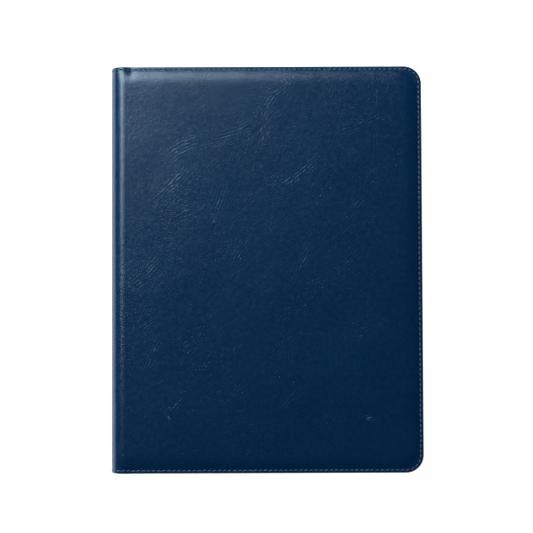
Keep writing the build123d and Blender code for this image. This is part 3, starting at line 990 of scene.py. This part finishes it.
@dataclass
class Cover:
    """One padded cover with its half of the spine, its lining and its sewing."""

    side: Side
    shape: CoverShape
    shift: float
    leather: Material
    thread: Material
    # The needle holes' finish: near-black painted shadow.
    hole: Material
    lining: Material
    skin: float = 0.85
    pitch: float = 2.6
    swell_cap: float = 0.45
    sim_frames: int = 20
    stitch_pitch: float = 3.0
    stitch_length: float = 2.15
    stitch_inset: float = 1.95
    stitch_slant: float = 9.0
    lining_inset: float = 2.5
    lining_bend_start: tuple[float, float] = (3.6, 10.5)
    lining_bend_end: tuple[float, float] = (12.0, 5.4)

    def place(self, point: Vector) -> Vector:
        """Carry a point of the front half to this cover, in the frame's axes.

        Args:
            point: A point of the front half, in millimetres, with X from the spine.

        Returns:
            Its place in millimetres.
        """
        z = point.z if self.side is Side.FRONT else self.shape.thickness - point.z
        return Vector((point.x + self.shift, point.y, z))

    def swell(self, piece: Piece) -> None:
        """Let the sewn-down leather swell over its padding, within a cap.

        Args:
            piece: The leather, still one sheet with no thickness.
        """
        rest = np.array([vertex.co for vertex in piece.data.vertices])
        hold = piece.vertex_groups.new(name="hold")
        layer = piece.data.uv_layers["flat"].data
        cut = {loop.vertex_index: layer[loop.index].uv.copy() for loop in piece.data.loops}
        shape = self.shape
        inner = shape.pad_corner - 4.0
        for index, uv in cut.items():
            x, y = uv.x / MM, uv.y / MM
            free = shape.panel_start + 1.0 < x < shape.cut_x - inner and abs(y) < shape.cut_y - inner
            hold.add([index], 0.0 if free else 1.0, "REPLACE")
        cloth = piece.modifiers.new("swell", "CLOTH")
        cloth.settings.vertex_group_mass = "hold"
        cloth.settings.quality = 4
        cloth.settings.tension_stiffness = 60
        cloth.settings.compression_stiffness = 60
        cloth.settings.bending_stiffness = 8
        cloth.settings.use_pressure = True
        cloth.settings.uniform_pressure_force = 4.0
        cloth.settings.effector_weights.gravity = 0.0
        cloth.point_cache.frame_start = 1
        cloth.point_cache.frame_end = self.sim_frames
        scene = bpy.context.scene
        for frame in range(1, self.sim_frames + 1):
            scene.frame_set(frame)
        make_active(piece)
        bpy.ops.object.modifier_apply(modifier=cloth.name)
        scene.frame_set(1)
        after = np.array([vertex.co for vertex in piece.data.vertices])
        lift = (after[:, 2] - rest[:, 2]) * (1.0 if self.side is Side.FRONT else -1.0)
        most = np.percentile(np.abs(lift), 99) or 1.0
        share = np.clip(lift / most, 0.0, 1.0) * self.swell_cap * MM
        if self.side is Side.BACK:
            share = share * 0.0
        rest[:, 2] += share
        piece.data.vertices.foreach_set("co", rest.ravel())
        piece.data.update()

    def bend_at_shoulder(self, piece: Piece, start: tuple[float, float], end: tuple[float, float]) -> None:
        """Move a piece's placement into its mesh; the piece is not bent.

        Args:
            piece: The piece whose placement is moved into its mesh.
            start: Not used. Where it would leave the spine, as X and the depth below the cover's top, in
                millimetres.
            end: Not used. Where it would reach the cover, in the same way.
        """
        if self.side is Side.FRONT:
            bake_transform(piece)
        else:
            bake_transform(piece)

    def mark_folds(self, piece: Piece) -> None:
        """Write the creases into the leather's second UV map.

        Args:
            piece: The leather, still one sheet with no thickness.
        """
        mirror = 1.0 if self.side is Side.FRONT else -1.0
        places = np.array([(v.co.x / MM - self.shift, mirror * v.co.y / MM) for v in piece.data.vertices])
        strength, cross = np.zeros(len(places)), np.zeros(len(places))
        low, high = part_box(f"{self.side.value}_leather")
        width, height = (high[0] - low[0]) / MM, (high[1] - low[1]) / MM
        for mark in FoldPattern().marks(width, height):
            shown, across = mark.read(places)
            stronger = shown > strength
            strength[stronger], cross[stronger] = shown[stronger], across[stronger]
        layer = piece.data.uv_layers.new(name="folds")
        for loop in piece.data.loops:
            layer.data[loop.index].uv = (strength[loop.vertex_index], cross[loop.vertex_index] * MM)

    def build_leather(self) -> Piece:
        """The cover's leather, turned in at its edges and padded."""
        shape = self.shape
        name = f"{self.side.value}_cover_leather"
        across, along = shape.lines_x(self.pitch), shape.lines_y(self.pitch)
        piece = grid_sheet(name, across, along, lambda x, y: self.place(shape.point(x, y)))
        if self.side is Side.FRONT:
            self.swell(piece)
        self.mark_folds(piece)
        if self.side is Side.BACK:
            piece.data.flip_normals()
            for corner in piece.data.uv_layers["flat"].data:
                corner.uv.x *= -1.0
        creases = {"edge_crease_rim": 1.0, "edge_crease_outer": 1.0, "edge_crease_inner": 1.0}
        modify(piece, "SOLIDIFY", thickness=self.skin * MM, offset=-1.0, **creases)
        modify(piece, "SUBSURF", levels=1, render_levels=1)
        dress(piece, self.leather)
        if self.side is Side.FRONT:
            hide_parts("front_leather", "spine_leather")
        else:
            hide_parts("back_leather")
        self.bend_at_shoulder(piece, *self.shape.shoulder)
        return piece

    def seam(self) -> list[tuple[Vector, Vector, Vector]]:
        """Even places along the seam, from the spine round the cover and back.

        Returns:
            For each stitch its middle, its direction and the surface's outward normal.
        """
        shape = self.shape
        t = shape.quarter + self.stitch_inset - shape.edge_radius
        turn = shape.cut_x - (shape.fore_corner - shape.edge_radius + shape.quarter)
        side_y = shape.cut_y - (shape.fore_corner - shape.edge_radius + shape.quarter)
        reach = shape.fore_corner - self.stitch_inset
        path = [(x, shape.cut_y - t) for x in spaced(1.5, turn, 0.5)]
        flat = [shape.point(x, y) for x, y in path]
        centre = Vector((shape.width - shape.fore_corner, shape.half_height - shape.fore_corner, 0))
        height = flat[-1].z
        bend = [centre + Vector((reach * math.sin(a), reach * math.cos(a), height)) for a in
                spaced(0.0, math.pi / 2, 0.04)[1:]]
        edge = [Vector((centre.x + reach, y, height)) for y in spaced(side_y, -side_y, 0.5)[1:-1]]
        half = flat + bend
        line = half + edge + [Vector((p.x, -p.y, p.z)) for p in reversed(half)]
        lengths = [0.0]
        for before, after in zip(line, line[1:]):
            lengths.append(lengths[-1] + (after - before).length)
        count = round(lengths[-1] / self.stitch_pitch)
        wanted = [(index + 0.5) * lengths[-1] / count for index in range(count)]
        places, at = [], 0
        for length in wanted:
            while lengths[at + 1] < length:
                at += 1
            share = (length - lengths[at]) / (lengths[at + 1] - lengths[at])
            middle = line[at].lerp(line[at + 1], share)
            direction = (line[at + 1] - line[at]).normalized()
            places.append((middle, direction, self.normal_near(middle)))
        return places

    def normal_near(self, point: Vector) -> Vector:
        """The outward normal of the margin beside a point of the seam."""
        shape = self.shape
        if point.x >= shape.round_radius:
            return Vector((0, 0, 1))
        centre_z = shape.thickness - shape.round_radius
        if point.z <= centre_z:
            return Vector((-1, 0, 0))
        return Vector((point.x - shape.round_radius, 0, point.z - centre_z)).normalized()

    def stitch_places(self, lift: float, slant: float) -> list[Matrix]:
        """Where each copy of a stitch or needle hole goes.

        Args:
            lift: The height of its middle above the leather, in millimetres.
            slant: Its turn in the surface, in degrees.

        Returns:
            One matrix for each place.
        """
        places = []
        for middle, direction, normal in self.seam():
            side = normal.cross(direction).normalized()
            turned = direction * math.cos(math.radians(slant)) + side * math.sin(math.radians(slant))
            other = normal.cross(turned).normalized()
            centre = self.place(middle + normal * lift) * MM
            axes = [turned, other, normal]
            if self.side is Side.BACK:
                axes = [Vector((axis.x, axis.y, -axis.z)) for axis in axes]
                axes[1] = -axes[1]
            turn = Matrix((axes[0], axes[1], axes[2])).transposed().to_4x4()
            places.append(Matrix.Translation(centre) @ turn)
        return places

    def build_sewing(self) -> list[Piece]:
        """The stitches, and near-black discs between them that paint the shadow in the needle holes."""
        deselect()
        bpy.ops.mesh.primitive_uv_sphere_add(segments=8, ring_count=6, radius=MM)
        model = bpy.context.object
        model.rotation_euler = Euler((0, math.pi / 2, 0))
        settle(model)
        model.scale = (self.stitch_length / 2, 0.36, 0.30)
        settle(model)
        stitches = scatter(f"{self.side.value}_stitches", model, self.stitch_places(0.06, self.stitch_slant))
        dress(stitches, self.thread)
        deselect()
        # Each needle hole is a flat near-black disc: painted shadow inside the hole.
        bpy.ops.mesh.primitive_uv_sphere_add(segments=8, ring_count=4, radius=MM)
        pit = bpy.context.object
        pit.scale = (0.46, 0.46, 0.10)
        settle(pit)
        pit.data.transform(Matrix.Translation((self.stitch_pitch / 2 * MM, 0, 0)))
        shadow_discs = scatter(f"{self.side.value}_needle_hole_shadow_marks", pit, self.stitch_places(0.0, 0.0))
        dress(shadow_discs, self.hole)
        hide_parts(f"{self.side.value}_stitching")
        for piece in (stitches, shadow_discs):
            self.bend_at_shoulder(piece, *self.shape.shoulder)
        return [stitches, shadow_discs]

    def lining_path(self) -> list[tuple[float, float]]:
        """The lining's line in X and Z, from the middle of the spine to the flat of the cover."""
        top = self.shape.thickness
        return [
            (3.6, top / 2), (3.6, top - 14.0), (3.6, top - 10.6), (3.0, top - 8.9), (2.3, top - 7.0),
            (3.3, top - 4.7), (5.3, top - 3.2), (7.4, top - 3.0), (9.0, top - 3.9), (10.2, top - 4.9),
            (12.0, top - 5.4),
        ]

    def build_lining(self) -> Piece:
        """The cloth lining, which dips into the shoulder beside the spine."""
        shape = self.shape
        path = self.lining_path()
        half = shape.half_height - self.lining_inset
        far = shape.width - self.lining_inset
        corner = shape.fore_corner - self.lining_inset
        line = [Vector((x, 0, z)) for x, z in path]
        panel = [Vector((x, 0, path[-1][1])) for x in spaced(path[-1][0], far, 4.0)[1:]]
        line += panel
        ends = [0.0]
        for before, after in zip(line, line[1:]):
            ends.append(ends[-1] + (after - before).length)

        def put(x: float, y: float) -> Vector:
            """The place of a point of the lining's cut."""
            at = min(range(len(ends)), key=lambda index: abs(ends[index] - x))
            base = line[at]
            a, b = base.x - (far - corner), abs(y) - (half - corner)
            px, py = base.x, y
            if a > 0 and b > 0:
                reach = max(a, b)
                angle = math.pi / 4 * (b / a if a >= b else 2 - a / b)
                px = far - corner + reach * math.cos(angle)
                py = math.copysign(half - corner + reach * math.sin(angle), y)
            return self.place(Vector((px, py, base.z)))

        along = spaced(-half, -half + corner, 1.4)[:-1] + spaced(-half + corner, half - corner, 6.0)
        along += spaced(half - corner, half, 1.4)[1:]
        piece = grid_sheet(f"{self.side.value}_lining_cloth", ends, along, put)
        if self.side is Side.BACK:
            piece.data.flip_normals()
        modify(piece, "SOLIDIFY", thickness=0.5 * MM, offset=1.0)
        modify(piece, "SUBSURF", levels=1, render_levels=1)
        dress(piece, self.lining)
        if self.side is Side.FRONT:
            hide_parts("front_lining", "spine_lining")
        else:
            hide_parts("back_lining")
        self.bend_at_shoulder(piece, self.lining_bend_start, self.lining_bend_end)
        return piece

    def build(self) -> list[Piece]:
        """Build every piece of this cover."""
        return [self.build_leather(), *self.build_sewing(), self.build_lining()]


# ---------------------------------------------------------------- carried-over pieces


@dataclass
class FrameDresser:
    """Gives the pieces that keep their CAD shape their finishes."""

    nodes: dict[str, Piece]

    def dress(self, material: Material, *names: str) -> None:
        """Put one material on several CAD nodes.

        Args:
            material: The material.
            names: The nodes' names.
        """
        for name in names:
            node = self.nodes[name]
            node.data.materials.clear()
            node.data.materials.append(material)


def dress_carried_over(dresser: FrameDresser) -> None:
    """Give every CAD node that keeps its shape its material.

    Args:
        dresser: What puts materials on the nodes.
    """
    pocket = LeatherFinish("pocket_leather", PatternSpace.OBJECT, gloss=0.46, creasing=0.35).build()
    dresser.dress(pocket, "rear_pocket", "document_pocket", "card_slots")
    bright = MetalFinish("bright_nickel").build()
    plain = MetalFinish("rolled_steel", (0.52, 0.53, 0.55), 0.34).build()
    dresser.dress(bright, "ring_base_plate", "ring_halves_right", "ring_halves_left", "lever_head",
                  "lever_tail", "pen_clip", "pen_tip", "ring_rivets")
    dresser.dress(plain, "toggle_plate_right", "toggle_plate_left", "rivet_washers", "lever_pins")
    paper = PaperFinish("ledger_paper").build()
    dresser.dress(paper, "log_sheets_1", "log_sheets_2", "log_sheets_3", "current_log_leaf")
    tints = [(0.42, 0.16, 0.12), (0.46, 0.36, 0.10), (0.12, 0.32, 0.22), (0.10, 0.22, 0.42)]
    for number, tint in enumerate(tints, 1):
        divider = PlasticFinish(f"divider_tint_{number}", tint, rough=0.42, see_through=0.15).build()
        dresser.dress(divider, f"divider_{number}")
    clear = PlasticFinish("clear_film", (0.93, 0.95, 0.97), rough=0.06, depth=0.004, see_through=1.0).build()
    dresser.dress(clear, "clear_flyleaf")
    dresser.dress(CardFinish("laminated_card").build(), "licence_card")
    pen = PlasticFinish("pen_lacquer", (0.012, 0.014, 0.02), rough=0.16, depth=0.003).build()
    dresser.dress(pen, "pen_barrel", "pen_cap")
    elastic = WovenFinish("ribbed_elastic", PatternSpace.OBJECT, (0.01, 0.011, 0.015), (0.05, 0.05, 0.06),
                          0.5, 1.3).build()
    dresser.dress(elastic, "pen_loop")
    foam = PlasticFinish("cream_foam", (0.6, 0.56, 0.42), rough=0.95, grain=2.0, depth=0.2).build()
    dresser.dress(foam, "front_foam", "back_foam")
    board = PlasticFinish("grey_board", (0.22, 0.20, 0.17), rough=0.9, grain=1.0, depth=0.08).build()
    dresser.dress(board, "front_board", "back_board", "spine_board")


# ---------------------------------------------------------------- studio


@dataclass
class Studio:
    """The floor, the lights and the camera."""

    centre: Vector
    top: float
    distance: float = 1.0
    frame_width: float = 0.3168
    tilt: float = 2.3
    roll: float = 0.21
    look_y: float = 0.0015

    def build_floor(self, finish: Material) -> None:
        """A large floor just under the object.

        Args:
            finish: The floor's material.
        """
        deselect()
        bpy.ops.mesh.primitive_plane_add(size=8.0, location=(0, 0, -0.0002))
        floor = bpy.context.object
        floor.name = "studio_floor"
        settle(floor)
        floor.data.materials.append(finish)
        floor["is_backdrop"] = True

    def add_light(self, name: str, place: tuple, aim: tuple, size: tuple, power: float,
                  colour: Colour = (0.74, 0.98, 1.10)) -> None:
        """Add one rectangular soft light.

        Args:
            name: The light's name.
            place: Where it stands, in metres.
            aim: The point it faces.
            size: Its width and height, in metres.
            power: Its power in watts.
            colour: Its colour.
        """
        data = bpy.data.lights.new(name, "AREA")
        data.shape = "RECTANGLE"
        data.size, data.size_y = size
        data.energy = power
        data.color = colour
        light = bpy.data.objects.new(name, data)
        bpy.context.scene.collection.objects.link(light)
        light.location = place
        light.rotation_euler = (Vector(aim) - Vector(place)).to_track_quat("-Z", "Y").to_euler()

    def build_lights(self) -> None:
        """A large soft light up and to the left, a weak spill beside it, and faint light all round."""
        self.add_light("key_softbox", (-0.625, 0.69, 0.94), (-0.46, 0.50, 0.0), (0.9, 0.9), 27.5)
        spill = (0.60, 1.0, 0.85)
        self.add_light("key_spill", (-0.13, 0.27, 0.94), (-0.13, 0.27, 0.0), (0.36, 0.34), 0.085, spill)
        world = bpy.data.worlds.new("studio_air")
        world.use_nodes = True
        background = world.node_tree.nodes["Background"]
        background.inputs["Color"].default_value = (0.9, 0.95, 1.0, 1.0)
        background.inputs["Strength"].default_value = 0.008
        bpy.context.scene.world = world

    def build_camera(self) -> None:
        """A long lens straight above the closed cover, tipped a little towards the tail."""
        data = bpy.data.cameras.new("camera")
        data.sensor_width = 36.0
        data.lens = data.sensor_width * self.distance / self.frame_width
        camera = bpy.data.objects.new("camera", data)
        bpy.context.scene.collection.objects.link(camera)
        aim = Vector((self.centre.x, self.centre.y + self.look_y, self.top))
        angle = math.radians(self.tilt)
        camera.location = aim + Vector((0, -math.sin(angle), math.cos(angle))) * self.distance
        turn = Euler((angle, 0, 0)).to_matrix() @ Matrix.Rotation(math.radians(-self.roll), 3, "Z")
        camera.rotation_euler = turn.to_euler()
        bpy.context.scene.camera = camera
        bpy.context.scene.view_settings.view_transform = "Standard"


# ---------------------------------------------------------------- assembly


def main() -> None:
    """Build the logbook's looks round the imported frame."""
    logging.basicConfig(level=logging.INFO, format="%(name)s: %(message)s")
    random.seed(11)
    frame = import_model()
    cad_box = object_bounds()
    low, high = Vector(cad_box[0]), Vector(cad_box[1])
    shape = CoverShape(
        width=(high.x - low.x) / MM,
        half_height=(high.y - low.y) / 2 / MM,
        thickness=high.z / MM,
    )
    leather = LeatherFinish("navy_creased_leather", PatternSpace.FLAT).build()
    thread = ThreadFinish("navy_twisted_thread").build()
    # The needle holes' finish: near-black painted shadow.
    hole = PlasticFinish("needle_hole_shadow", (0.0012, 0.004, 0.012), rough=0.9).build()
    warp, weft = (0.012, 0.016, 0.026), (0.045, 0.055, 0.08)
    lining = WovenFinish("dark_lining_weave", PatternSpace.FLAT, warp, weft).build()
    for side in Side:
        cover = Cover(side, shape, low.x / MM, leather, thread, hole, lining)
        for piece in cover.build():
            LOG.info("built %s", piece.name)
    dress_carried_over(FrameDresser(frame["nodes"]))
    LOG.info("dressed the carried-over pieces")
    studio = Studio(Vector(((low.x + high.x) / 2, (low.y + high.y) / 2, 0)), high.z - 3.0 * MM)
    studio.build_floor(FloorFinish("pale_floor").build())
    studio.build_lights()
    studio.build_camera()


if __name__ == "__main__":
    main()
